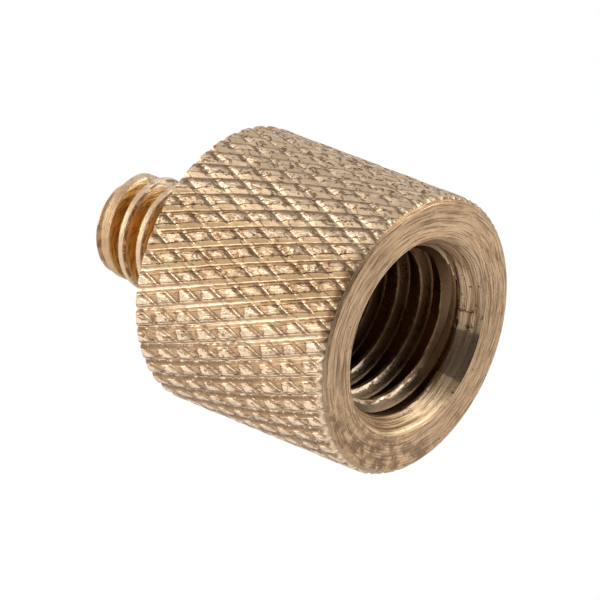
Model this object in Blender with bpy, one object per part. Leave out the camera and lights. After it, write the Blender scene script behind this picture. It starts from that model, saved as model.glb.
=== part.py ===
# Tripod thread adapter: a knurled brass barrel with a small threaded stud at one end
# and a larger threaded socket at the other, all turned from one bar.
# The socket's face lies on z = 0 and the stud points along +Z. Sizes are in metres.

import bpy
import bmesh
from math import pi, sin, cos, tan, radians

# Barrel
BARREL_DIAMETER = 0.0154
BARREL_LENGTH = 0.0130
FRONT_EDGE_BREAK = 0.00038
BACK_EDGE_BREAK = 0.0001
BLANK_SEGMENTS = 90

# Diamond knurl: two families of V grooves that cross
KNURL_PITCH = 0.001125
KNURL_HELIX_ANGLE = radians(21.0)
GROOVE_HALF_ANGLE = radians(50.0)
DEEP_GROOVE_DEPTH = 0.0002
SHALLOW_GROOVE_DEPTH = 0.00016
DIAMOND_HEIGHT = 0.00553
DIAMOND_ANGLE = radians(-88.8)

# Stud thread, 1/4 inch by 20 turns an inch
STUD_LENGTH = 0.0075
STUD_DIAMETER = 0.0062
STUD_PITCH = 0.00127
STUD_CREST_FLAT = 0.00031
STUD_THREAD_DEPTH = 0.00068
STUD_THREAD_START = 0.01230
STUD_SEGMENTS = 30
LEAD_DIAMETER = 0.00578
LEAD_LENGTH = 0.0015
TIP_CHAMFER = 0.00038
STUD_ROOT_DEPTH = 0.0005

# Plain collar at the stud's foot, where its thread runs out
COLLAR_DIAMETER = 0.0063
COLLAR_HEIGHT = 0.0004

# Socket thread, 3/8 inch by 16 turns an inch
SOCKET_DIAMETER = 0.009525
SOCKET_PITCH = 0.0015875
SOCKET_GROOVE_FLAT = 0.0002
SOCKET_THREAD_DEPTH = 0.00062
SOCKET_THREAD_START = 0.00085
SOCKET_RUNOUT_LENGTH = 0.0007
SOCKET_END_WALL = 0.00102
SOCKET_SEGMENTS = 38
COUNTERSINK_DIAMETER = 0.01074
COUNTERSINK_HALF_ANGLE = radians(30.0)
DRILL_POINT_HALF_ANGLE = radians(59.0)
DRILL_RUNOUT_STEP = 0.00002

THREAD_FLANK_ANGLE = radians(30.0)

# How far a cutting shape runs past the surface that it cuts
OVERRUN = 0.0006


def new_object(name, bm, smooth_angle):
    # Turn a finished bmesh into a named object with outward faces and smooth shading
    bmesh.ops.recalc_face_normals(bm, faces=bm.faces)
    mesh = bpy.data.meshes.new(name)
    bm.to_mesh(mesh)
    bm.free()
    mesh.shade_smooth()
    mesh.set_sharp_from_angle(angle=smooth_angle)
    obj = bpy.data.objects.new(name, mesh)
    bpy.context.scene.collection.objects.link(obj)
    return obj


def turned(name, profile, segments, first_angle=0.0):
    # Spin a profile of (radius, height) pairs, which starts and ends on the axis. Where
    # the shape meets a thread, its first angle sets its corners between the thread's.
    bm = bmesh.new()
    points = [bm.verts.new((radius * cos(first_angle), radius * sin(first_angle), height))
              for radius, height in profile]
    edges = [bm.edges.new(pair) for pair in zip(points, points[1:])]
    bmesh.ops.spin(bm, geom=points + edges, cent=(0, 0, 0), axis=(0, 0, 1),
                   angle=2 * pi, steps=segments, use_merge=True)
    bmesh.ops.remove_doubles(bm, verts=bm.verts, dist=1e-7)
    return new_object(name, bm, radians(30))


def cut_flat(bm, height, side):
    # Cut off what lies above (side 1) or below (side -1) a height, and close the cut
    bmesh.ops.bisect_plane(bm, geom=bm.verts[:] + bm.edges[:] + bm.faces[:], dist=1e-8,
                           plane_co=(0, 0, height), plane_no=(0, 0, side), clear_outer=True)
    rim = [edge for edge in bm.edges if edge.is_boundary
           and all(abs(vert.co.z - height) < 1e-7 for vert in edge.verts)]
    bmesh.ops.edgeloop_fill(bm, edges=rim)


def threaded(name, diameter, depth, pitch, crest_flat, start, bottom, top, segments):
    # A right-hand V thread. One turn's profile is spun up the helix, so that each turn's
    # last point meets the next turn's first, and the rod is then cut flat at both ends.
    # The middle of the crest is at the height start where the thread crosses the +X side.
    crest = diameter / 2
    root = crest - depth
    half_crest = crest_flat / 2
    half_foot = half_crest + depth * tan(THREAD_FLANK_ANGLE)
    turns = int((top - bottom) / pitch) + 4
    first = start - pitch * (int((start - bottom) / pitch) + 2)
    profile = [(root, -half_foot), (crest, -half_crest), (crest, half_crest),
               (root, half_foot), (root, pitch - half_foot)]
    bm = bmesh.new()
    points = [bm.verts.new((radius, 0.0, first + height)) for radius, height in profile]
    edges = [bm.edges.new(pair) for pair in zip(points, points[1:])]
    bmesh.ops.spin(bm, geom=points + edges, cent=(0, 0, 0), axis=(0, 0, 1),
                   dvec=(0, 0, pitch / segments), angle=2 * pi * turns, steps=segments * turns)
    bmesh.ops.remove_doubles(bm, verts=bm.verts, dist=2e-6)
    cut_flat(bm, top, 1)
    cut_flat(bm, bottom, -1)
    return new_object(name, bm, radians(25))


def knurled(name, bottom, top):
    # A rod whose skin is the diamond knurl. A place on it has two counts, deep and shallow,
    # which are whole numbers on the bottoms of the deep and of the shallow grooves.
    radius = BARREL_DIAMETER / 2
    starts = round(2 * pi * radius / KNURL_PITCH)
    rise = pi * radius / (starts * tan(KNURL_HELIX_ANGLE))
    spacing = 2 * pi * radius * cos(KNURL_HELIX_ANGLE) / starts
    deep_edge = DEEP_GROOVE_DEPTH * tan(GROOVE_HALF_ANGLE) / spacing
    shallow_edge = SHALLOW_GROOVE_DEPTH * tan(GROOVE_HALF_ANGLE) / spacing
    meeting = deep_edge * (1 - SHALLOW_GROOVE_DEPTH / DEEP_GROOVE_DEPTH)

    bm = bmesh.new()
    placed = {}

    def point(deep, shallow, depth):
        # Places one full turn apart are the same point
        turn = deep // starts
        key = (round(deep - starts * turn, 6), round(shallow + starts * turn, 6))
        if key not in placed:
            angle = DIAMOND_ANGLE + pi * (deep - shallow) / starts
            height = DIAMOND_HEIGHT + rise * (deep + shallow - 1)
            reach = radius - depth
            placed[key] = bm.verts.new((reach * cos(angle), reach * sin(angle), height))
        return placed[key]

    def deep_wall(line, side, land, shallow):
        # One wall of a deep groove: above the shallow grooves' depth, then below it
        near, far = line + side * meeting, line + side * deep_edge
        high = [point(near, shallow, SHALLOW_GROOVE_DEPTH),
                point(near, shallow + 1, SHALLOW_GROOVE_DEPTH)]
        bm.faces.new([high[0], high[1], point(far, shallow + 1 - land, 0),
                      point(far, shallow + land, 0)])
        bm.faces.new([point(line, shallow, DEEP_GROOVE_DEPTH),
                      point(line, shallow + 1, DEEP_GROOVE_DEPTH), high[1], high[0]])

    def shallow_wall(line, side, deep):
        # One wall of a shallow groove, between two deep grooves
        edge = line + side * shallow_edge
        bm.faces.new([point(deep + meeting, line, SHALLOW_GROOVE_DEPTH),
                      point(deep + 1 - meeting, line, SHALLOW_GROOVE_DEPTH),
                      point(deep + 1 - deep_edge, edge, 0), point(deep + deep_edge, edge, 0)])

    # Diamonds in rings, one ring for each sum of the two counts
    lowest = int((bottom - DIAMOND_HEIGHT) / rise) - 2
    highest = int((top - DIAMOND_HEIGHT) / rise) + 2
    for ring in range(lowest, highest):
        for deep in range(starts):
            shallow = ring - deep
            bm.faces.new([point(deep + deep_edge, shallow + shallow_edge, 0),
                          point(deep + 1 - deep_edge, shallow + shallow_edge, 0),
                          point(deep + 1 - deep_edge, shallow + 1 - shallow_edge, 0),
                          point(deep + deep_edge, shallow + 1 - shallow_edge, 0)])
            deep_wall(deep, 1, shallow_edge, shallow)
            deep_wall(deep + 1, -1, shallow_edge, shallow)
            shallow_wall(shallow, 1, deep)
            shallow_wall(shallow + 1, -1, deep)

    # Carry the toothed rims straight out past both ends and close them
    middle = (bottom + top) / 2
    reach = rise * (highest - lowest)
    for side in (-1, 1):
        rim = [edge for edge in bm.edges if edge.is_boundary
               and (edge.verts[0].co.z - middle) * side > 0]
        carried = bmesh.ops.extrude_edge_only(bm, edges=rim)["geom"]
        for vert in [item for item in carried if isinstance(item, bmesh.types.BMVert)]:
            vert.co.z = middle + side * reach
        bmesh.ops.edgeloop_fill(bm, edges=[edge for edge in bm.edges if edge.is_boundary
                                           and (edge.verts[0].co.z - middle) * side > 0])
    return new_object(name, bm, radians(20))


def combine(obj, other, operation):
    # A shape that only cuts, trims or is joined is shown as a wire and never rendered
    modifier = obj.modifiers.new(other.name, "BOOLEAN")
    modifier.object = other
    modifier.operation = operation
    modifier.solver = "EXACT"
    other.hide_render = True
    other.display_type = "WIRE"


def brass():
    material = bpy.data.materials.new("brass")
    material.use_nodes = True
    shader = material.node_tree.nodes["Principled BSDF"]
    shader.inputs["Base Color"].default_value = (0.56, 0.38, 0.21, 1.0)
    shader.inputs["Metallic"].default_value = 1.0
    shader.inputs["Roughness"].default_value = 0.38
    return material


def build():
    for obj in list(bpy.data.objects):
        bpy.data.objects.remove(obj)

    barrel_radius = BARREL_DIAMETER / 2
    stud_end = BARREL_LENGTH + STUD_LENGTH

    # The barrel's blank trims the knurled rod to length and breaks its two edges
    outside = barrel_radius + OVERRUN
    barrel_blank = turned("barrel_blank", [
        (0, 0),
        (barrel_radius - FRONT_EDGE_BREAK, 0),
        (outside, FRONT_EDGE_BREAK + OVERRUN),
        (outside, BARREL_LENGTH - BACK_EDGE_BREAK - OVERRUN),
        (barrel_radius - BACK_EDGE_BREAK, BARREL_LENGTH),
        (0, BARREL_LENGTH)], BLANK_SEGMENTS)
    adapter = knurled("thread_adapter", 0, BARREL_LENGTH)
    combine(adapter, barrel_blank, "INTERSECT")

    # Socket: a countersink, the thread and the drilled end with its point
    slope = tan(COUNTERSINK_HALF_ANGLE)
    mouth = COUNTERSINK_DIAMETER / 2
    socket_core = SOCKET_DIAMETER / 2 - SOCKET_THREAD_DEPTH
    countersink_end = (mouth - socket_core) / slope + OVERRUN
    countersink = turned("countersink", [
        (0, -OVERRUN),
        (mouth + OVERRUN * slope, -OVERRUN),
        (mouth - countersink_end * slope, countersink_end),
        (0, countersink_end)], SOCKET_SEGMENTS, pi / SOCKET_SEGMENTS)
    drill_radius = socket_core - DRILL_RUNOUT_STEP
    drill_tip = BARREL_LENGTH - SOCKET_END_WALL
    drill_depth = drill_tip - drill_radius / tan(DRILL_POINT_HALF_ANGLE)
    thread_end = drill_depth - SOCKET_RUNOUT_LENGTH
    socket_thread = threaded("socket_thread", SOCKET_DIAMETER, SOCKET_THREAD_DEPTH,
                             SOCKET_PITCH, SOCKET_GROOVE_FLAT, SOCKET_THREAD_START,
                             -OVERRUN, thread_end, SOCKET_SEGMENTS)
    drill_end = turned("drill_end", [
        (0, thread_end - OVERRUN),
        (drill_radius, thread_end - OVERRUN),
        (drill_radius, drill_depth),
        (0, drill_tip)], SOCKET_SEGMENTS)
    combine(socket_thread, countersink, "UNION")
    combine(socket_thread, drill_end, "UNION")
    combine(adapter, socket_thread, "DIFFERENCE")

    # Stud: a threaded rod with a reduced lead and a chamfered tip, rooted in the barrel,
    # and a plain collar round its foot
    stud_bottom = BARREL_LENGTH - STUD_ROOT_DEPTH
    stud = threaded("stud", STUD_DIAMETER, STUD_THREAD_DEPTH, STUD_PITCH, STUD_CREST_FLAT,
                    STUD_THREAD_START, stud_bottom, stud_end + OVERRUN, STUD_SEGMENTS)
    lead_radius = LEAD_DIAMETER / 2
    stud_outside = STUD_DIAMETER / 2 + OVERRUN
    lead_start = stud_end - LEAD_LENGTH
    stud_blank = turned("stud_blank", [
        (0, stud_bottom - OVERRUN),
        (stud_outside, stud_bottom - OVERRUN),
        (stud_outside, lead_start - (stud_outside - lead_radius)),
        (lead_radius, lead_start),
        (lead_radius, stud_end - TIP_CHAMFER),
        (lead_radius - TIP_CHAMFER, stud_end),
        (0, stud_end)], STUD_SEGMENTS, pi / STUD_SEGMENTS)
    combine(stud, stud_blank, "INTERSECT")
    collar_radius = COLLAR_DIAMETER / 2
    stud_collar = turned("stud_collar", [
        (0, stud_bottom),
        (collar_radius, stud_bottom),
        (collar_radius, BARREL_LENGTH + COLLAR_HEIGHT),
        (0, BARREL_LENGTH + COLLAR_HEIGHT)], STUD_SEGMENTS)
    combine(stud, stud_collar, "UNION")
    combine(adapter, stud, "UNION")

    adapter.data.materials.append(brass())


build()
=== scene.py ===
import bpy
from math import pi, tan, cos, sin, sqrt, atan2, hypot, radians
from mathutils import Vector, Matrix, noise


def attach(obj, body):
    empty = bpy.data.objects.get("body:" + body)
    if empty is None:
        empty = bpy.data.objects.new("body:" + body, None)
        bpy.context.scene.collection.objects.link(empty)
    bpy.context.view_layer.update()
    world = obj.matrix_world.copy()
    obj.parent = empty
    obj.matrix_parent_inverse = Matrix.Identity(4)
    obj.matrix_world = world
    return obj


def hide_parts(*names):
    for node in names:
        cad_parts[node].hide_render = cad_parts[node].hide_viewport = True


# Brass thread adapter: a knurled barrel, a threaded stud and a threaded socket.
# The whole adapter is one closed piece; its socket's face lies on z = 0.
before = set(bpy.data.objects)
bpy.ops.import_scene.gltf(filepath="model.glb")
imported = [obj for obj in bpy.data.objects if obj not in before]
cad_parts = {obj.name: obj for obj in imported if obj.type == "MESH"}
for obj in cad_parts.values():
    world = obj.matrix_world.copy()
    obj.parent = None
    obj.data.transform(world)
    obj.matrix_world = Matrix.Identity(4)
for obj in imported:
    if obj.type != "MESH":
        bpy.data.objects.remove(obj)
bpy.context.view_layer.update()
mm = 0.001
sameHeight = 1e-6                  # heights that differ by less than this count as one
noise.seed_set(7)                  # the unevenness comes out the same each time


def pick(obj):
    # Select only this object and make it the active one
    bpy.ops.object.select_all(action="DESELECT")
    obj.select_set(True)
    bpy.context.view_layer.objects.active = obj


def editMesh(obj, selectMode="VERT", everything=True):
    pick(obj)
    bpy.ops.object.mode_set(mode="EDIT")
    bpy.ops.mesh.select_mode(type=selectMode)
    bpy.ops.mesh.select_all(action="SELECT" if everything else "DESELECT")


def objectMode():
    bpy.ops.object.mode_set(mode="OBJECT")


def mergeDoubles(obj, threshold):
    editMesh(obj)
    bpy.ops.mesh.remove_doubles(threshold=threshold)
    objectMode()


def applyAll(obj):
    pick(obj)
    for modifier in list(obj.modifiers):
        bpy.ops.object.modifier_apply(modifier=modifier.name)


def cutAt(obj, height, keep=None):
    # Cut a ring of edges at a height; keep "above" or "below" throws the other side away
    editMesh(obj)
    bpy.ops.mesh.bisect(plane_co=(0, 0, height), plane_no=(0, 0, 1), threshold=1e-7,
                        clear_inner=keep == "above", clear_outer=keep == "below")
    objectMode()


def setRadius(obj, rule):
    # Move each point in or out to rule(radius, height, angle)
    for v in obj.data.vertices:
        r = hypot(v.co.x, v.co.y)
        if r > 1e-9:
            new = rule(r, v.co.z, atan2(v.co.y, v.co.x))
            v.co.x *= new / r
            v.co.y *= new / r


def selectRims(obj, height):
    # Go into edit mode with the open edges that lie at a height selected
    editMesh(obj, "EDGE", everything=False)
    objectMode()
    uses = {}
    for face in obj.data.polygons:
        for key in face.edge_keys:
            uses[key] = uses.get(key, 0) + 1
    for edge in obj.data.edges:
        ends = [obj.data.vertices[i] for i in edge.vertices]
        level = all(abs(v.co.z - height) < sameHeight for v in ends)
        edge.select = level and uses.get(edge.key, 0) == 1
        if edge.select:
            for v in ends:
                v.select = True
    bpy.ops.object.mode_set(mode="EDIT")


def closeEnd(obj, height, rings):
    # Close the open end at a height through rings of (scale, rise), ending on the axis
    selectRims(obj, height)
    for scale, rise in rings:
        bpy.ops.mesh.extrude_edges_move(TRANSFORM_OT_translate={"value": (0, 0, rise)})
        bpy.ops.transform.resize(value=(scale, scale, 1), center_override=(0, 0, height))
    bpy.ops.mesh.merge(type="CENTER")
    objectMode()


def fillAt(obj, height):
    # Fill the flat ring between the two open rims that lie at a height
    selectRims(obj, height)
    bpy.ops.mesh.fill(use_beauty=True)
    objectMode()


# Knurled skin: one diamond, repeated up and round, then wrapped
knurl = {
    "radius": 7.7 * mm,
    "length": 13.0 * mm,
    "starts": 43,                  # grooves in each direction
    "helix": radians(21),
    "deepGroove": 0.2 * mm,
    "shallowGroove": 0.16 * mm,
    "wallAngle": radians(50),      # half the angle between a groove's walls
    "blunt": 0.03 * mm,            # rounding of a groove's bottom
    "shoulder": 0.05 * mm,         # rim round each diamond's domed top
    "dome": 0.03 * mm,             # how far the top falls towards its rim
    "tileHeight": 5.53 * mm,       # middle of one diamond
    "tileAngle": radians(-88.8),
    "rows": (-4, 7),               # rings of diamonds below and above that one
    "unevenness": 0.016 * mm,
    "grain": 0.16 * mm,            # sizes of the fine and the broad unevenness
    "waves": 1.1 * mm,
    "sway": 0.025 * mm,            # how far points wander, and over what length
    "swayLength": 0.35 * mm,
    "frontBreak": 0.38 * mm,       # rounded edge round the socket's face
    "frontHeight": 0.42 * mm,
    "frontCuts": (0.08, 0.2, 0.35, 0.55, 1),
    "backChamfer": 0.1 * mm,
}


def knurledSkin(k):
    pitch = 2 * pi * k["radius"] / k["starts"]
    rise = pitch / 2 / tan(k["helix"])
    spacing = pitch * cos(k["helix"])
    alongDeep = Vector((-pitch / 2, rise, 0))       # one step up a deep groove
    alongShallow = Vector((pitch / 2, rise, 0))     # one step up a shallow groove
    wall = tan(k["wallAngle"])

    def groove(share, depth):
        # Depth of a V groove with a rounded bottom
        off = min(share, 1 - share) * spacing
        return depth + k["blunt"] - hypot(k["blunt"], off / wall)

    def lines(depth):
        # Grid lines across a diamond, from one groove's bottom to the next one's
        lip = sqrt((depth - k["dome"] + k["blunt"]) ** 2 - k["blunt"] ** 2) * wall / spacing
        near = [0, lip * 0.25, lip, lip + k["shoulder"] / spacing]
        return near + [0.5] + [1 - share for share in reversed(near)]

    deepLines = lines(k["deepGroove"])
    shallowLines = lines(k["shallowGroove"])
    bpy.ops.mesh.primitive_grid_add(x_subdivisions=len(deepLines) - 1,
                                    y_subdivisions=len(shallowLines) - 1, size=1)
    skin = bpy.context.object
    places = {}
    for v in skin.data.vertices:
        across = deepLines[round((v.co.x + 0.5) * (len(deepLines) - 1))]
        along = shallowLines[round((v.co.y + 0.5) * (len(shallowLines) - 1))]
        deep, shallow = groove(across, k["deepGroove"]), groove(along, k["shallowGroove"])
        places[v.index] = (across, along)
        v.co = alongShallow * across + alongDeep * along
        top = k["dome"] * ((2 * across - 1) ** 2 + (2 * along - 1) ** 2)
        v.co.z = -max(deep, shallow, top)
    uv = skin.data.uv_layers.active
    for loop in skin.data.loops:
        uv.data[loop.index].uv = places[loop.vertex_index]

    # Copies up the deep grooves and then round the barrel; the UV map counts diamonds
    first, last = k["rows"]
    for v in skin.data.vertices:
        v.co += alongDeep * first
    up = skin.modifiers.new("up", "ARRAY")
    up.use_relative_offset = False
    up.use_constant_offset = True
    up.constant_offset_displace = alongDeep
    up.count = last - first
    up.offset_v = 1
    around = skin.modifiers.new("around", "ARRAY")
    around.use_relative_offset = False
    around.use_constant_offset = True
    around.constant_offset_displace = alongShallow - alongDeep
    around.count = k["starts"]
    around.offset_u = 1
    around.offset_v = -1
    applyAll(skin)

    # Wrap the flat sheet round the barrel, with a little unevenness in the rolled metal
    foot = k["tileHeight"] - rise
    for v in skin.data.vertices:
        angle = k["tileAngle"] + v.co.x / k["radius"]
        r = k["radius"] + v.co.z
        height = foot + v.co.y
        v.co = Vector((r * cos(angle), r * sin(angle), height))
    mergeDoubles(skin, 0.01 * mm)
    for v in skin.data.vertices:
        outward = Vector((v.co.x, v.co.y, 0)).normalized()
        rough = noise.noise(v.co / k["grain"]) + 1.8 * noise.noise(v.co / k["waves"])
        sway = noise.noise_vector(v.co / k["swayLength"])
        v.co += outward * rough * k["unevenness"] + sway * k["sway"]

    # Trim to length, round the front edge and chamfer the back one
    front, back = k["frontHeight"], k["backChamfer"]
    cutAt(skin, 0, keep="above")
    cutAt(skin, k["length"], keep="below")
    for share in k["frontCuts"]:
        cutAt(skin, front * share)
    cutAt(skin, k["length"] - back)

    def rule(r, z, angle):
        broken = k["frontBreak"] * max(0, 1 - z / front) ** 1.6
        return min(r, k["radius"] - broken, k["radius"] - back + (k["length"] - z))

    setRadius(skin, rule)
    return skin


# Threads: a rounded profile run up a helix
def rounded(corners, size, spacing):
    # A profile with its corners rounded and its straight runs divided
    points = [corners[0]]
    for before, corner, after in zip(corners, corners[1:], corners[2:]):
        a = corner + (before - corner).normalized() * size
        b = corner + (after - corner).normalized() * size
        points += [a, (a + b) * 0.25 + corner * 0.5, b]
    points.append(corners[-1])
    divided = [points[0]]
    for p in points[1:]:
        last = divided[-1]
        parts = max(1, round((p - last).length / spacing))
        divided += [last.lerp(p, i / parts) for i in range(1, parts + 1)]
    return divided


def helicalSkin(name, low, high, flat, middle, t, bottom, top):
    # One pitch of the profile has a flat at the radius high, centred on middle, and runs
    # down 30 degree flanks to the radius low; it is then run up a helix and trimmed
    half = flat / 2
    foot = half + abs(high - low) * tan(radians(30))
    pitch = t["pitch"]
    corners = [Vector((low, 0, -pitch / 2)), Vector((low, 0, -foot)), Vector((high, 0, -half)),
               Vector((high, 0, half)), Vector((low, 0, foot)), Vector((low, 0, pitch / 2))]
    profile = rounded(corners, t["edgeRounding"], t["spacing"])
    turnsBelow = int((middle - bottom) / pitch) + 2
    turns = int((top - bottom) / pitch) + 4
    mesh = bpy.data.meshes.new(name)
    shift = Vector((0, 0, middle - turnsBelow * pitch))
    mesh.from_pydata([p + shift for p in profile],
                     [(i, i + 1) for i in range(len(profile) - 1)], [])
    obj = bpy.data.objects.new(name, mesh)
    bpy.context.collection.objects.link(obj)
    screw = obj.modifiers.new("turns", "SCREW")
    screw.axis = "Z"
    screw.screw_offset = pitch
    screw.iterations = turns
    screw.steps = screw.render_steps = t["steps"]
    screw.use_merge_vertices = False
    applyAll(obj)
    mergeDoubles(obj, 0.002 * mm)
    cutAt(obj, bottom, keep="above")
    cutAt(obj, top, keep="below")
    return obj


# Socket: the thread, the countersink and the drilled end
socket = {
    "major": 4.7625 * mm,
    "depth": 0.62 * mm,
    "pitch": 1.5875 * mm,
    "grooveFlat": 0.64 * mm,
    "threadStart": 0.79 * mm,      # middle of a groove on the +X side
    "threadEnd": 8.8 * mm,
    "runOut": 0.5 * mm,
    "drillEnd": 9.5 * mm,
    "drillTip": 11.97 * mm,
    "drillRings": ((0.7, 0.3), (0.5, 0.35), (0.2, 0.28), (0, 0.07)),    # scale and share of the tip
    "mouth": 5.37 * mm,
    "coneAngle": radians(30),
    "mouthRounding": 0.1 * mm,     # how far the mouth's edge is worn back, and how deep
    "mouthWear": 0.3 * mm,
    "crestRoughness": 0.045 * mm,
    "edgeRounding": 0.09 * mm,
    "spacing": 0.085 * mm,
    "steps": 96,
}


def socketSkin(s):
    major, minor = s["major"], s["major"] - s["depth"]
    slope = tan(s["coneAngle"])
    skin = helicalSkin("socketSkin", minor, major, s["grooveFlat"], s["threadStart"], s,
                       0, s["drillEnd"])

    def rule(r, z, angle):
        # Rough first crest, countersink and the plain drilled end
        worn = s["mouthRounding"] * max(0, 1 - z / s["mouthWear"]) ** 2
        cone = s["mouth"] - z * slope + worn
        fade = min(1, max(0, (s["threadEnd"] - z) / s["runOut"]))
        r = minor + (r - minor) * fade
        if r < cone + 0.05 * mm:
            spot = Vector((cos(angle), sin(angle), 0)) * 40
            r += s["crestRoughness"] * noise.noise(spot + Vector((0, 0, z / (0.5 * mm))))
        return max(r, cone)

    setRadius(skin, rule)
    tip = s["drillTip"] - s["drillEnd"]
    closeEnd(skin, s["drillEnd"], [(scale, share * tip) for scale, share in s["drillRings"]])
    return skin


# Stud: the collar, the thread, the thinner lead and the chamfered tip
stud = {
    "major": 3.1 * mm,
    "depth": 0.68 * mm,
    "pitch": 1.27 * mm,
    "crestFlat": 0.31 * mm,
    "threadStart": 12.3 * mm,
    "base": 13.0 * mm,
    "tip": 20.5 * mm,
    "collar": 3.14 * mm,
    "collarHeight": 0.4 * mm,
    "lead": 2.89 * mm,
    "leadLength": 1.5 * mm,
    "tipChamfer": 0.38 * mm,
    "unevenness": 0.008 * mm,
    "edgeRounding": 0.07 * mm,
    "spacing": 0.1 * mm,
    "steps": 72,
}


def studSkin(s):
    major, root = s["major"], s["major"] - s["depth"]
    skin = helicalSkin("studSkin", root, major, s["crestFlat"], s["threadStart"], s,
                       s["base"], s["tip"])
    leadStart = s["tip"] - s["leadLength"]

    def rule(r, z, angle):
        # Thinner lead, chamfered tip and the plain collar at the foot
        limit = s["lead"] + max(0, leadStart - z)
        limit = min(limit, s["lead"] - s["tipChamfer"] + (s["tip"] - z))
        r = min(r, limit)
        spot = Vector((cos(angle), sin(angle), z / (0.8 * mm))) * 2.2
        r += s["unevenness"] * noise.noise(spot)
        if z < s["base"] + s["collarHeight"]:
            r = s["collar"]
        return r

    for height in (s["base"] + s["collarHeight"], leadStart, s["tip"] - s["tipChamfer"]):
        cutAt(skin, height)
    setRadius(skin, rule)
    closeEnd(skin, s["tip"], [(0.6, 0), (0.3, 0), (0.1, 0), (0, 0)])
    return skin


print("knurled skin")
adapter = knurledSkin(knurl)
print("socket and stud")
inner = socketSkin(socket)
outer = studSkin(stud)
pick(adapter)
inner.select_set(True)
outer.select_set(True)
bpy.ops.object.join()
adapter.name = adapter.data.name = "adapter"
fillAt(adapter, 0)
fillAt(adapter, knurl["length"])
editMesh(adapter)
bpy.ops.mesh.normals_make_consistent(inside=False)
objectMode()

# The knurl is smooth all over; the rest has crisp turned edges
crispAngle = radians(28)           # edges that turn by more than this stay crisp
skinInside = 7.2 * mm              # the knurl lies outside this radius
bpy.ops.object.shade_smooth_by_angle(angle=crispAngle)
for edge in adapter.data.edges:
    ends = [adapter.data.vertices[i].co for i in edge.vertices]
    if all(hypot(p.x, p.y) > skinInside and 0.1 * mm < p.z < 12.85 * mm for p in ends):
        edge.use_edge_sharp = False
print("adapter has", len(adapter.data.polygons), "faces")

# Colours of the brass, by how it is worn or stained; some are also laid as painted highlight and painted
# shade
brass = {
    "base": (0.54, 0.34, 0.185, 1),
    "pale": (0.68, 0.47, 0.29, 1),
    "gold": (0.56, 0.38, 0.2, 1),
    "tan": (0.42, 0.27, 0.15, 1),
    "burnishAndHighlight": (0.82, 0.63, 0.44, 1),
    "cream": (0.92, 0.76, 0.56, 1),
    "bright": (0.88, 0.67, 0.42, 1),
    "warm": (0.95, 0.68, 0.43, 1),
    "faced": (0.6, 0.385, 0.21, 1),
    "facedPale": (0.71, 0.475, 0.28, 1),
    "bored": (0.34, 0.18, 0.09, 1),
    "boredPale": (0.5, 0.33, 0.19, 1),
    "dark": (0.19, 0.105, 0.055, 1),
    "stain": (0.075, 0.05, 0.035, 1),
    "dull": (0.2, 0.135, 0.09, 1),
    "orange": (0.56, 0.28, 0.05, 1),
    "brown": (0.3, 0.14, 0.03, 1),
    "redBrown": (0.27, 0.125, 0.05, 1),
    "greyBrown": (0.15, 0.105, 0.07, 1),
    "umber": (0.17, 0.1, 0.055, 1),
}


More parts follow.
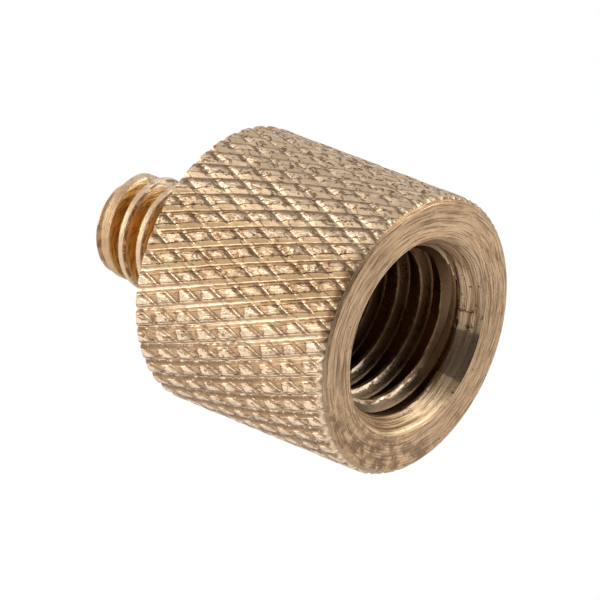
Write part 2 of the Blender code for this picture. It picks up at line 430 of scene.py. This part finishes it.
class Finish:
    # A metal with short calls for the nodes that it needs; colour is what is laid on so far
    def __init__(self, name):
        self.material = bpy.data.materials.new(name)
        self.material.use_nodes = True
        self.tree = self.material.node_tree
        self.shader = self.tree.nodes["Principled BSDF"]
        self.shader.inputs["Metallic"].default_value = 1
        self.place = self.tree.nodes.new("ShaderNodeTexCoord").outputs["Object"]
        self.colour = None

    def put(self, target, value):
        if isinstance(value, bpy.types.NodeSocket):
            self.tree.links.new(value, target)
        elif value is not None:
            target.default_value = value

    def math(self, operation, a, b=None, c=None):
        node = self.tree.nodes.new("ShaderNodeMath")
        node.operation = operation
        for i, value in enumerate((a, b, c)):
            self.put(node.inputs[i], value)
        return node.outputs[0]

    def times(self, first, *others):
        for other in others:
            first = self.math("MULTIPLY", first, other)
        return first

    def most(self, first, *others):
        for other in others:
            first = self.math("MAXIMUM", first, other)
        return first

    def inverse(self, value):
        return self.math("SUBTRACT", 1, value)

    def radius(self, x, y):
        squares = self.math("ADD", self.math("MULTIPLY", x, x), self.math("MULTIPLY", y, y))
        return self.math("SQRT", squares)

    def split(self, vector):
        node = self.tree.nodes.new("ShaderNodeSeparateXYZ")
        self.put(node.inputs[0], vector)
        return node.outputs

    def join(self, x, y, z):
        node = self.tree.nodes.new("ShaderNodeCombineXYZ")
        for i, value in enumerate((x, y, z)):
            self.put(node.inputs[i], value)
        return node.outputs[0]

    def stretch(self, vector, scale):
        node = self.tree.nodes.new("ShaderNodeMapping")
        self.put(node.inputs["Vector"], vector)
        node.inputs["Scale"].default_value = scale
        return node.outputs[0]

    def noise(self, vector, scale, detail=3, rough=0.55, distortion=0):
        node = self.tree.nodes.new("ShaderNodeTexNoise")
        self.put(node.inputs["Vector"], vector)
        node.inputs["Scale"].default_value = scale
        node.inputs["Detail"].default_value = detail
        node.inputs["Roughness"].default_value = rough
        node.inputs["Distortion"].default_value = distortion
        return node.outputs["Fac"]

    def between(self, value, low, high, newLow=0, newHigh=1):
        # Smooth step from newLow to newHigh while value goes from low to high
        node = self.tree.nodes.new("ShaderNodeMapRange")
        node.interpolation_type = "SMOOTHSTEP"
        for i, item in enumerate((value, low, high, newLow, newHigh)):
            self.put(node.inputs[i], item)
        return node.outputs[0]

    def band(self, value, low, full, stillFull, high):
        # 1 from full to stillFull, falling to 0 at low and at high
        return self.times(self.between(value, low, full), self.between(value, stillFull, high, 1, 0))

    def mix(self, share, a, b):
        node = self.tree.nodes.new("ShaderNodeMix")
        node.data_type = "RGBA"
        for target, value in zip((node.inputs[0], node.inputs[6], node.inputs[7]), (share, a, b)):
            self.put(target, value)
        return node.outputs[2]

    def lay(self, share, name):
        # Lay one of the brass's colours over what is there
        self.colour = self.mix(share, self.colour, brass[name])

    def bump(self, height, distance, strength=1):
        node = self.tree.nodes.new("ShaderNodeBump")
        node.inputs["Strength"].default_value = strength
        node.inputs["Distance"].default_value = distance
        self.put(node.inputs["Height"], height)
        return node.outputs[0]

    def finish(self, roughness, normal):
        self.put(self.shader.inputs["Base Color"], self.colour)
        self.put(self.shader.inputs["Roughness"], roughness)
        self.put(self.shader.inputs["Normal"], normal)
        return self.material


knurlLook = {
    "wedgeSide": (-0.6 * mm, -2.6 * mm),    # x where the lit wedges begin and are full
    "strokeSide": (1.5 * mm, 4 * mm),       # x where the painted wide strokes and the painted lighter side begin and are full
    "backSides": (2 * mm, 4 * mm),          # how far to a side the rims are darkened with painted shade
    # share of the painted highlight laid on the patches, strokes and lines
    "polishAndHighlight": 0.8,
    "dirtAndShade": 0.88,
    "bump": 0.07 * mm,
    "roughness": (0.34, 0.5),
}


def knurledBrass(look):
    f = Finish("knurled brass")
    uv = f.tree.nodes.new("ShaderNodeUVMap")
    uv.uv_map = "UVMap"
    tiles = uv.outputs[0]
    x, y, z = f.split(f.place)
    across, along, _ = f.split(tiles)
    acrossShare = f.math("FRACT", across)
    alongShare = f.math("FRACT", along)
    # Distance from the nearest groove's middle, from 0 to 0.5, in each direction
    deepOff = f.math("PINGPONG", across, 0.5)
    shallowOff = f.math("PINGPONG", along, 0.5)
    inDeep = f.between(deepOff, 0.24, 0.29, 1, 0)
    inRow = f.between(deepOff, 0.15, 0.21)
    low = f.between(x, *look["wedgeSide"])
    high = f.between(x, *look["strokeSide"])
    grime = f.noise(f.place, 2600, 4, 0.6)
    torn = f.noise(f.place, 3600, 2, 0.6)
    mottle = f.noise(f.place, 700, 3, 0.6)
    ragged = f.noise(f.stretch(tiles, (2.2, 1.3, 1)), 2.6, 4, 0.7)
    # A size and a tone of its own for each diamond
    chance = f.tree.nodes.new("ShaderNodeTexWhiteNoise")
    chance.noise_dimensions = "2D"
    f.put(chance.inputs["Vector"], f.join(f.math("FLOOR", across), f.math("FLOOR", along), 0))
    size, _, tone = f.split(chance.outputs["Color"])

    # Burnished patch in the middle of each diamond, painted bright as a highlight
    middle = f.math("ADD", f.math("MINIMUM", deepOff, f.math("ADD", shallowOff, 0.04)),
                    f.math("MULTIPLY_ADD", ragged, 0.9, -0.45))
    patch = f.between(f.math("MULTIPLY_ADD", size, 0.16, middle), 0.39, 0.44)
    # On one side of the barrel the patch is a painted lit wedge against one rim, with a painted dark line
    # of shade beside it
    limit = f.math("MULTIPLY_ADD", acrossShare, -0.8, f.math("MULTIPLY_ADD", ragged, 0.3, 0.85))
    beyond = f.math("SUBTRACT", alongShare, limit)
    wedge = f.times(f.between(beyond, -0.03, 0.03, 1, 0), f.between(alongShare, 0.12, 0.17), inRow)
    patch = f.math("ADD", f.times(patch, f.inverse(low)), f.times(wedge, low))
    wedgeShade = f.times(f.between(f.math("ABSOLUTE", beyond), 0.02, 0.06, 1, 0), low, inRow)
    # Painted highlights on the bottoms of both sets of grooves: broken strokes and long lines
    broken = f.between(f.noise(f.place, 1500, 3, 0.6), 0.38, 0.5)
    stroke = f.times(f.between(shallowOff, 0.02, 0.055, 1, 0), inRow, broken)
    wideStroke = f.times(f.between(shallowOff, 0.05, 0.08, 1, 0), inRow, high)
    stroke = f.most(stroke, wideStroke)
    wideLine = f.times(f.between(deepOff, 0.05, 0.09, 1, 0), low)
    line = f.most(f.times(f.between(deepOff, 0.015, 0.045, 1, 0), 0.4), f.times(wideLine, 0.9))
    strength = f.math("MULTIPLY_ADD", low, 0.25, 0.72)
    burnishAndHighlight = f.most(f.times(patch, strength), stroke, line)

    f.colour = f.mix(f.between(mottle, 0.35, 0.7), brass["base"], brass["pale"])
    f.lay(f.times(inDeep, 0.75), "gold")
    f.lay(f.times(tone, 0.35), "tan")
    # Painted light and shade: one side of the barrel is laid lighter, the other darker, and darker still
    # beside the wedges
    f.lay(f.times(high, 0.62), "burnishAndHighlight")
    f.lay(f.times(low, 0.22), "tan")
    f.lay(f.times(low, inRow, f.inverse(wedge), 0.45), "tan")
    # Painted highlights on the patches and groove bottoms, over some real burnish
    f.lay(f.times(burnishAndHighlight, look["polishAndHighlight"]), "burnishAndHighlight")
    # Painted highlights in cream on the strokes and lines
    f.lay(f.most(f.times(stroke, 0.75), f.times(wideLine, 0.6), f.times(wideStroke, 0.95)), "cream")

    # Painted shade on the walls that face one way, and grime along torn rims and in pits
    shade = f.times(f.band(alongShare, 0.03, 0.06, 0.13, 0.2), inRow,
                    f.between(acrossShare, 0.2, 0.9, 0.55, 1))
    wideShade = f.times(f.band(alongShare, 0.07, 0.1, 0.26, 0.34), inRow, high)
    farWall = f.band(acrossShare, 0.84, 0.89, 0.95, 0.98)
    rim = f.most(f.band(deepOff, 0.21, 0.26, 0.28, 0.36), f.band(shallowOff, 0.14, 0.18, 0.2, 0.26))
    dirtAndShade = f.times(f.most(shade, wideShade, farWall), f.between(grime, 0.36, 0.56, 0.1, 1))
    dirtAndShade = f.most(dirtAndShade, f.times(rim, f.between(torn, 0.46, 0.58)))
    dirtAndShade = f.most(dirtAndShade, f.times(inRow, f.between(torn, 0.57, 0.66)))
    dirtAndShade = f.times(dirtAndShade, f.math("MULTIPLY_ADD", low, -0.45, 1))
    # Painted shade beside the lit wedges
    dirtAndShade = f.most(dirtAndShade, f.times(wedgeShade, f.between(grime, 0.4, 0.55)))
    # Painted shadow under each row's lower lip on the wedge side
    dirtAndShade = f.most(dirtAndShade, f.times(f.band(acrossShare, 0.76, 0.82, 0.9, 0.96), low, 0.7))
    # Painted shade on the upper rims on one side, and painted shade darkening the rims towards the
    # barrel's sides
    upper = f.between(f.math("MULTIPLY_ADD", ragged, 0.5, acrossShare), 0.78, 0.9)
    upper = f.times(upper, inRow, f.between(alongShare, 0.8, 0.9, 1, 0))
    dirtAndShade = f.most(dirtAndShade, f.times(upper, high, 0.75))
    sideways = f.between(f.math("ABSOLUTE", x), *look["backSides"])
    bitten = f.between(f.noise(f.stretch(tiles, (2.5, 2, 1)), 1.6, 3, 0.6), 0.56, 0.62)
    bottoms = f.times(f.between(acrossShare, 0.8, 0.88), f.between(grime, 0.35, 0.5))
    dirtAndShade = f.most(dirtAndShade, f.times(sideways, f.most(bitten, bottoms)))
    # The rounded front edge is clean on one side
    edge = f.times(f.between(x, -0.5 * mm, -3 * mm), f.between(z, 0.3 * mm, 0.55 * mm, 1, 0))
    f.lay(edge, "burnishAndHighlight")
    dirtAndShade = f.times(dirtAndShade, f.inverse(f.times(edge, 0.6)))
    # Painted shade: dark ends of the deep grooves at the front edge
    teeth = f.times(f.between(deepOff, 0.28, 0.34, 1, 0), f.between(z, 0.4 * mm, 0.75 * mm, 1, 0),
                    f.between(f.math("ABSOLUTE", x), 2 * mm, 3.5 * mm, 1, 0))
    dirtAndShade = f.most(dirtAndShade, teeth)
    f.lay(f.times(dirtAndShade, look["dirtAndShade"]), "dark")

    # Drawn streaks, chips and pits, away from the deep grooves
    streaks = f.noise(f.stretch(tiles, (11, 1.2, 1)), 1, 2, 0.55)
    chips = f.noise(f.stretch(tiles, (3.2, 2.2, 1)), 1, 1, 0.5, 0.6)
    height = f.math("ADD", f.times(streaks, 1.3), f.times(torn, 0.25))
    height = f.math("MULTIPLY_ADD", chips, 2.8, height)
    smoother = f.math("MULTIPLY_ADD", high, -0.5, f.math("MULTIPLY_ADD", low, -0.65, 1))
    height = f.times(height, f.inverse(f.times(inDeep, 0.8)), smoother)
    roughness = f.math("MULTIPLY_ADD", burnishAndHighlight, -0.18, f.between(grime, 0.3, 0.75, *look["roughness"]))
    return f.finish(roughness, f.bump(height, look["bump"]))


def latheMarks(f, wanderScale, wander, slope=1):
    # Places that follow circles about the adapter's axis; slope is the way the surface leans
    x, y, z = f.split(f.place)
    drift = f.noise(f.place, wanderScale, 2, 0.5)
    reach = f.math("ADD", f.radius(x, y), f.times(drift, wander))
    return f.join(f.math("MULTIPLY_ADD", z, slope, reach), f.times(x, 0.04), f.times(y, 0.04))


facedLook = {"blotchedSide": (-3.5 * mm, -6.5 * mm), "blotches": 0.8, "bump": 0.06 * mm}


def facedBrass(look):
    # The socket's face, the shoulder and the broken edges: turned arcs, blotches and specks
    f = Finish("faced brass")
    x, y, z = f.split(f.place)
    rings = latheMarks(f, 220, 0.6 * mm)
    coarse = f.noise(rings, 5200, 4, 0.65)
    fine = f.noise(rings, 14000, 2, 0.6)
    mottle = f.noise(f.place, 900, 4, 0.65)
    f.colour = f.mix(f.between(mottle, 0.35, 0.75), brass["faced"], brass["facedPale"])
    f.lay(f.between(f.noise(f.place, 420, 4, 0.6), 0.5, 0.68, 0, 0.4), "dark")
    f.lay(f.between(coarse, 0.54, 0.59, 0, 0.55), "dark")
    f.lay(f.between(fine, 0.54, 0.58, 0, 0.6), "dark")
    f.lay(f.between(fine, 0.43, 0.38, 0, 0.5), "burnishAndHighlight")
    blotches = f.between(f.noise(f.place, 1500, 4, 0.65), 0.44, 0.58)
    f.lay(f.times(f.between(x, *look["blotchedSide"]), blotches, look["blotches"]), "dark")
    edge = f.times(f.between(x, -0.5 * mm, -3 * mm), f.between(z, 0, 0.03 * mm))
    f.lay(f.times(edge, 0.7), "pale")
    f.lay(f.between(f.noise(f.place, 4200, 3, 0.7), 0.63, 0.69, 0, 0.9), "stain")
    height = f.math("ADD", coarse, f.times(fine, 0.7))
    return f.finish(f.between(mottle, 0.3, 0.75, 0.28, 0.45), f.bump(height, look["bump"]))


coneLook = {
    "depth": 1.3 * mm,             # the countersink's finish reaches this deep
    "margin": 0.1 * mm,            # and this far past the cone
    "dullPatch": (radians(78), radians(108)),    # from and to angles round from the +X side
    "pits": (radians(54), radians(74)),
    "golden": (radians(105), radians(125)),
    "upper": (radians(80), radians(70)),
    "bump": 0.035 * mm,
}


def coneBrass(look):
    f = Finish("countersink brass")
    x, y, z = f.split(f.place)
    angle = f.math("ARCTAN2", y, x)
    rings = latheMarks(f, 300, 0.4 * mm, slope=-1)
    coarse = f.noise(rings, 3600, 3, 0.6)
    fine = f.noise(rings, 7000, 3, 0.65)
    mottle = f.noise(f.place, 1100, 4, 0.65)
    upper = f.between(angle, *look["upper"])
    f.colour = f.mix(f.between(mottle, 0.35, 0.65), brass["gold"], brass["pale"])
    # Painted highlight: a golden band on one side of the countersink
    f.lay(f.times(f.between(angle, *look["golden"]), 0.5), "bright")
    # Painted light: the countersink's upper part is laid warm and bright
    f.lay(f.times(upper, 0.9), "warm")
    f.lay(f.between(coarse, 0.46, 0.4, 0, 0.7), "burnishAndHighlight")
    f.lay(f.between(coarse, 0.52, 0.56, 0, 0.8), "tan")
    f.lay(f.between(fine, 0.53, 0.57, 0, 0.7), "dark")
    wavy = f.math("MULTIPLY_ADD", mottle, 0.12, angle)
    first, last = look["dullPatch"]
    f.lay(f.times(f.band(wavy, first, first + 0.03, last, last + 0.03), 0.75), "dull")
    first, last = look["pits"]
    pits = f.times(f.band(angle, first, first + 0.2, last, last + 0.1),
                   f.between(f.noise(f.place, 1900, 2, 0.6), 0.54, 0.62))
    specks = f.between(f.noise(f.place, 4200, 3, 0.7), 0.62, 0.68)
    f.lay(f.times(f.most(pits, specks), 0.85), "stain")
    height = f.math("SUBTRACT", f.math("MULTIPLY_ADD", coarse, 0.4, fine), pits)
    return f.finish(f.math("MULTIPLY_ADD", upper, 0.08, 0.38), f.bump(height, look["bump"]))


boreLook = {"lowerSide": (-0.8 * mm, -2.5 * mm), "glints": 0.8, "bump": 0.02 * mm}


def boreBrass(look):
    # Grooves are stained red-brown, and the worn lands between them are pale
    f = Finish("bore brass")
    x, y, z = f.split(f.place)
    radius = f.radius(x, y)
    mottle = f.noise(f.place, 900, 4, 0.6)
    f.colour = f.mix(f.between(mottle, 0.3, 0.7), brass["bored"], brass["boredPale"])
    # Painted shade: darker deeper into the bore
    f.lay(f.times(f.between(z, 1.0 * mm, 6 * mm), 0.5), "dark")
    coneRadius = f.math("MULTIPLY_ADD", z, -tan(socket["coneAngle"]), socket["mouth"])
    pastCone = f.math("SUBTRACT", radius, coneRadius)
    inGroove = f.times(f.between(radius, 4.15 * mm, 4.27 * mm), f.between(pastCone, -0.01 * mm, 0.03 * mm))
    f.lay(f.times(inGroove, 0.75), "redBrown")
    # Painted shade: on one side the groove flanks that a lamp lights are laid grey-brown
    lower = f.between(x, *look["lowerSide"])
    f.lay(f.times(inGroove, lower, 0.85), "greyBrown")
    worn = f.between(f.noise(f.place, 3200, 3, 0.6), 0.45, 0.6, 0, 0.45)
    f.lay(f.times(f.inverse(inGroove), worn), "pale")
    # Painted shade: the first crest beside the countersink is darkened
    firstCrest = f.times(f.between(pastCone, 0.07 * mm, 0.03 * mm), f.between(radius, 4.2 * mm, 4.28 * mm))
    f.lay(f.times(firstCrest, 0.85), "umber")
    # Painted glints: bright spots along the crests on one side
    streaks = f.noise(f.stretch(f.place, (1, 1, 4)), 1400, 4, 0.7)
    paintedGlints = f.times(lower, f.between(streaks, 0.46, 0.52), f.between(radius, 4.42 * mm, 4.28 * mm))
    f.lay(f.times(paintedGlints, look["glints"]), "cream")
    scratches = f.noise(f.stretch(f.place, (1, 1, 6)), 4200, 3, 0.6)
    roughness = f.math("MULTIPLY_ADD", inGroove, -0.08, f.between(mottle, 0.3, 0.7, 0.28, 0.45))
    return f.finish(roughness, f.bump(scratches, look["bump"], 0.6))


studLook = {"litSide": (1.4 * mm, 2.6 * mm), "stain": 0.92, "dirtAndShade": 0.85, "bump": 0.03 * mm}


def studBrass(look):
    # Grooves are stained orange and brown, up to the tip's last turn
    f = Finish("stud brass")
    x, y, z = f.split(f.place)
    radius = f.radius(x, y)
    mottle = f.noise(f.place, 1000, 4, 0.6)
    turned = f.noise(f.stretch(f.place, (1, 1, 9)), 1500, 3, 0.6)
    orange = f.mix(f.between(turned, 0.42, 0.6), brass["orange"], brass["brown"])
    f.colour = f.mix(f.between(mottle, 0.3, 0.7), brass["base"], brass["pale"])
    f.lay(0.45, "burnishAndHighlight")
    inGroove = f.times(f.between(radius, 2.74 * mm, 3.03 * mm, 1, 0),
                       f.between(z, 19.6 * mm, 20.0 * mm, 1, 0))
    # One side's crests are laid pale, a painted highlight
    litSide = f.times(f.between(x, *look["litSide"]), f.between(radius, 2.5 * mm, 2.75 * mm))
    inGroove = f.times(inGroove, f.math("MULTIPLY_ADD", litSide, -0.75, 1))
    f.lay(f.times(litSide, 0.5), "cream")
    f.colour = f.mix(f.times(inGroove, look["stain"]), f.colour, orange)
    # Dark spots along the crests' edges, painted dark reflections on the lit side, and darker patches at
    # the tip
    edge = f.band(radius, 2.86 * mm, 2.97 * mm, 3.02 * mm, 3.08 * mm)
    spots = f.between(f.noise(f.place, 2200, 4, 0.7), 0.42, 0.5)
    darkPatches = f.between(f.noise(f.place, 1300, 5, 0.7), 0.47, 0.62, 0, 0.75)
    atTip = f.times(f.between(x, 0.5 * mm, -1 * mm), f.between(z, 19.8 * mm, 20.1 * mm))
    sides = f.most(f.between(x, 1.7 * mm, 2.5 * mm), atTip)
    dirtAndShade = f.most(f.times(edge, spots), f.times(sides, darkPatches))
    f.lay(f.times(dirtAndShade, look["dirtAndShade"]), "dark")
    scratches = f.noise(f.stretch(f.place, (1, 1, 6)), 4200, 3, 0.6)
    height = f.math("ADD", f.times(turned, 2), scratches)
    return f.finish(f.between(mottle, 0.3, 0.7, 0.26, 0.42), f.bump(height, look["bump"], 0.8))


print("finishes")
finishes = {
    "knurl": knurledBrass(knurlLook),
    "faces": facedBrass(facedLook),
    "bore": boreBrass(boreLook),
    "stud": studBrass(studLook),
    "cone": coneBrass(coneLook),
}


def finishAt(place):
    # Which finish the face at a place has
    r, z = hypot(place.x, place.y), place.z
    coneRadius = socket["mouth"] - z * tan(socket["coneAngle"])
    onSkin = r > skinInside
    if z > knurl["length"] + 0.01 * mm:
        return "stud"
    if onSkin and 0.4 * knurl["frontHeight"] < z < knurl["length"] - sameHeight:
        return "knurl"
    if onSkin or abs(z) < sameHeight or abs(z - knurl["length"]) < sameHeight:
        return "faces"
    if z < coneLook["depth"] and r < coneRadius + coneLook["margin"]:
        return "cone"
    return "bore"


adapter.data.materials.clear()
for material in finishes.values():
    adapter.data.materials.append(material)
order = list(finishes)
for face in adapter.data.polygons:
    face.material_index = order.index(finishAt(face.center))
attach(adapter, "root")
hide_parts("thread_adapter")

# Floor, seen from above and open from below; it fades out some way off, so it has no edge
print("floor, camera and light")
floorLook = {
    "size": 0.6,
    "height": -0.02 * mm,
    "colour": (0.95, 0.95, 0.95, 1),
    "roughness": 0.9,
    "fade": (0.03, 0.14),          # how far from the middle the fading begins and ends
}
bpy.ops.mesh.primitive_plane_add(size=floorLook["size"], location=(0, 0, floorLook["height"]))
floor = bpy.context.object
floor.name = "floor"
pale = bpy.data.materials.new("pale floor")
pale.use_nodes = True
nodes, links = pale.node_tree.nodes, pale.node_tree.links
shader = nodes["Principled BSDF"]
shader.inputs["Base Color"].default_value = floorLook["colour"]
shader.inputs["Roughness"].default_value = floorLook["roughness"]
side = nodes.new("ShaderNodeNewGeometry")
away = nodes.new("ShaderNodeVectorMath")
away.operation = "LENGTH"
links.new(nodes.new("ShaderNodeTexCoord").outputs["Object"], away.inputs[0])
fade = nodes.new("ShaderNodeMapRange")
fade.interpolation_type = "SMOOTHSTEP"
fade.inputs["From Min"].default_value, fade.inputs["From Max"].default_value = floorLook["fade"]
links.new(away.outputs["Value"], fade.inputs["Value"])
gone = nodes.new("ShaderNodeMath")
gone.operation = "MAXIMUM"
links.new(side.outputs["Backfacing"], gone.inputs[0])
links.new(fade.outputs["Result"], gone.inputs[1])
clear = nodes.new("ShaderNodeBsdfTransparent")
choose = nodes.new("ShaderNodeMixShader")
links.new(gone.outputs[0], choose.inputs[0])
links.new(shader.outputs[0], choose.inputs[1])
links.new(clear.outputs[0], choose.inputs[2])
links.new(choose.outputs[0], nodes["Material Output"].inputs[0])
floor.data.materials.append(pale)
floor.visible_diffuse = False
floor.visible_glossy = False
floor.visible_transmission = False
floor.visible_shadow = False

# Camera, from below the socket's face as in the photograph, which is 600 pixels wide
view = {
    "pictureWidth": 600,
    "lensPixels": 6531.65,
    "middle": (296.18, 312.74),    # the pixel that the lens's axis meets
    "place": (0, -0.28108221, -0.19370018),
    "right": (0.3678104776607, 0.5428857659777, -0.75497715039),
    "down": (-0.92989464, 0.2117815136, -0.30073999),
    "ahead": (-0.0033772582, 0.812664538, 0.582722025),
}
right, down, ahead = (Vector(view[name]) for name in ("right", "down", "ahead"))
centre = view["pictureWidth"] / 2
middleX, middleY = view["middle"]
# The picture's centre is aimed at, since the lens's axis meets it a little off the centre
aim = ahead * view["lensPixels"] + right * (centre - middleX) + down * (centre - middleY)
aim = aim.normalized()
across = (right - aim * right.dot(aim)).normalized()
camera = bpy.data.objects.new("camera", bpy.data.cameras.new("camera"))
bpy.context.collection.objects.link(camera)
place = Matrix((across, across.cross(aim), -aim)).transposed().to_4x4()
place.translation = Vector(view["place"])
camera.matrix_world = place
camera.data.sensor_width = 36
camera.data.lens = view["lensPixels"] / view["pictureWidth"] * camera.data.sensor_width
camera.data.clip_start = 0.001
bpy.context.scene.camera = camera

# Soft studio light: a pale room, brighter on one side and darker round the camera
light = {
    "above": 1.0,                  # the room's brightness straight above, level and below
    "level": 0.48,
    "below": 0.12,
    "backdrop": (0, 0.86, -0.5),   # the middle of the white backdrop behind the adapter
    "table": (-1, -0.2, 0),        # a pale surface on one side
    "tableStrength": 0.6,
    "lampDistance": 0.3,
    "lamps": {                     # direction, width, height and power of each
        "above": ((0, -0.72, 0.7), 0.15, 0.36, 0.38),
        "side": ((0.88, 0.12, -0.42), 0.34, 0.34, 0.66),
    },
}
world = bpy.data.worlds.new("studio")
bpy.context.scene.world = world
world.use_nodes = True
nodes, links = world.node_tree.nodes, world.node_tree.links
direction = nodes.new("ShaderNodeTexCoord").outputs["Generated"]


def facing(way, low, high, newLow, newHigh):
    # How bright the room is, by how nearly a ray goes the given way
    dot = nodes.new("ShaderNodeVectorMath")
    dot.operation = "DOT_PRODUCT"
    dot.inputs[1].default_value = Vector(way).normalized()
    links.new(direction, dot.inputs[0])
    step = nodes.new("ShaderNodeMapRange")
    step.interpolation_type = "SMOOTHSTEP"
    for i, value in enumerate((low, high, newLow, newHigh)):
        step.inputs[i + 1].default_value = value
    links.new(dot.outputs["Value"], step.inputs[0])
    return step.outputs[0]


def together(operation, a, b):
    node = nodes.new("ShaderNodeMath")
    node.operation = operation
    links.new(a, node.inputs[0])
    links.new(b, node.inputs[1])
    return node.outputs[0]


soft = nodes["Background"]
soft.inputs[0].default_value = (1, 1, 1, 1)
strength = together("ADD", facing((0, 0, 1), -0.1, 0.95, 0, light["above"] - light["level"]),
                    facing((0, 0, 1), -0.8, 0.1, light["below"], light["level"]))
strength = together("ADD", strength, facing(light["table"], 0.4, 0.95, 0, light["tableStrength"]))
links.new(strength, soft.inputs[1])
# Rays from the camera see plain white, and so do mirrored rays that go to the backdrop
white = nodes.new("ShaderNodeBackground")
white.inputs[0].default_value = (1, 1, 1, 1)
seen = nodes.new("ShaderNodeLightPath")
mirrored = together("ADD", seen.outputs["Is Glossy Ray"], seen.outputs["Is Transmission Ray"])
mirrored = together("MULTIPLY", mirrored, facing(light["backdrop"], 0.7, 0.93, 0, 1))
choose = nodes.new("ShaderNodeMixShader")
links.new(together("MAXIMUM", seen.outputs["Is Camera Ray"], mirrored), choose.inputs[0])
links.new(soft.outputs[0], choose.inputs[1])
links.new(white.outputs[0], choose.inputs[2])
links.new(choose.outputs[0], nodes["World Output"].inputs[0])

for name, (way, width, height, power) in light["lamps"].items():
    way = Vector(way).normalized()
    data = bpy.data.lights.new(name, "AREA")
    data.shape = "RECTANGLE"
    data.size, data.size_y = width, height
    data.energy = power
    lamp = bpy.data.objects.new(name, data)
    bpy.context.collection.objects.link(lamp)
    lamp.location = way * light["lampDistance"] + Vector((0, 0, 0.01))
    lamp.rotation_euler = (-way).to_track_quat("-Z", "Y").to_euler()

bpy.context.scene.view_settings.view_transform = "Standard"
print("done")
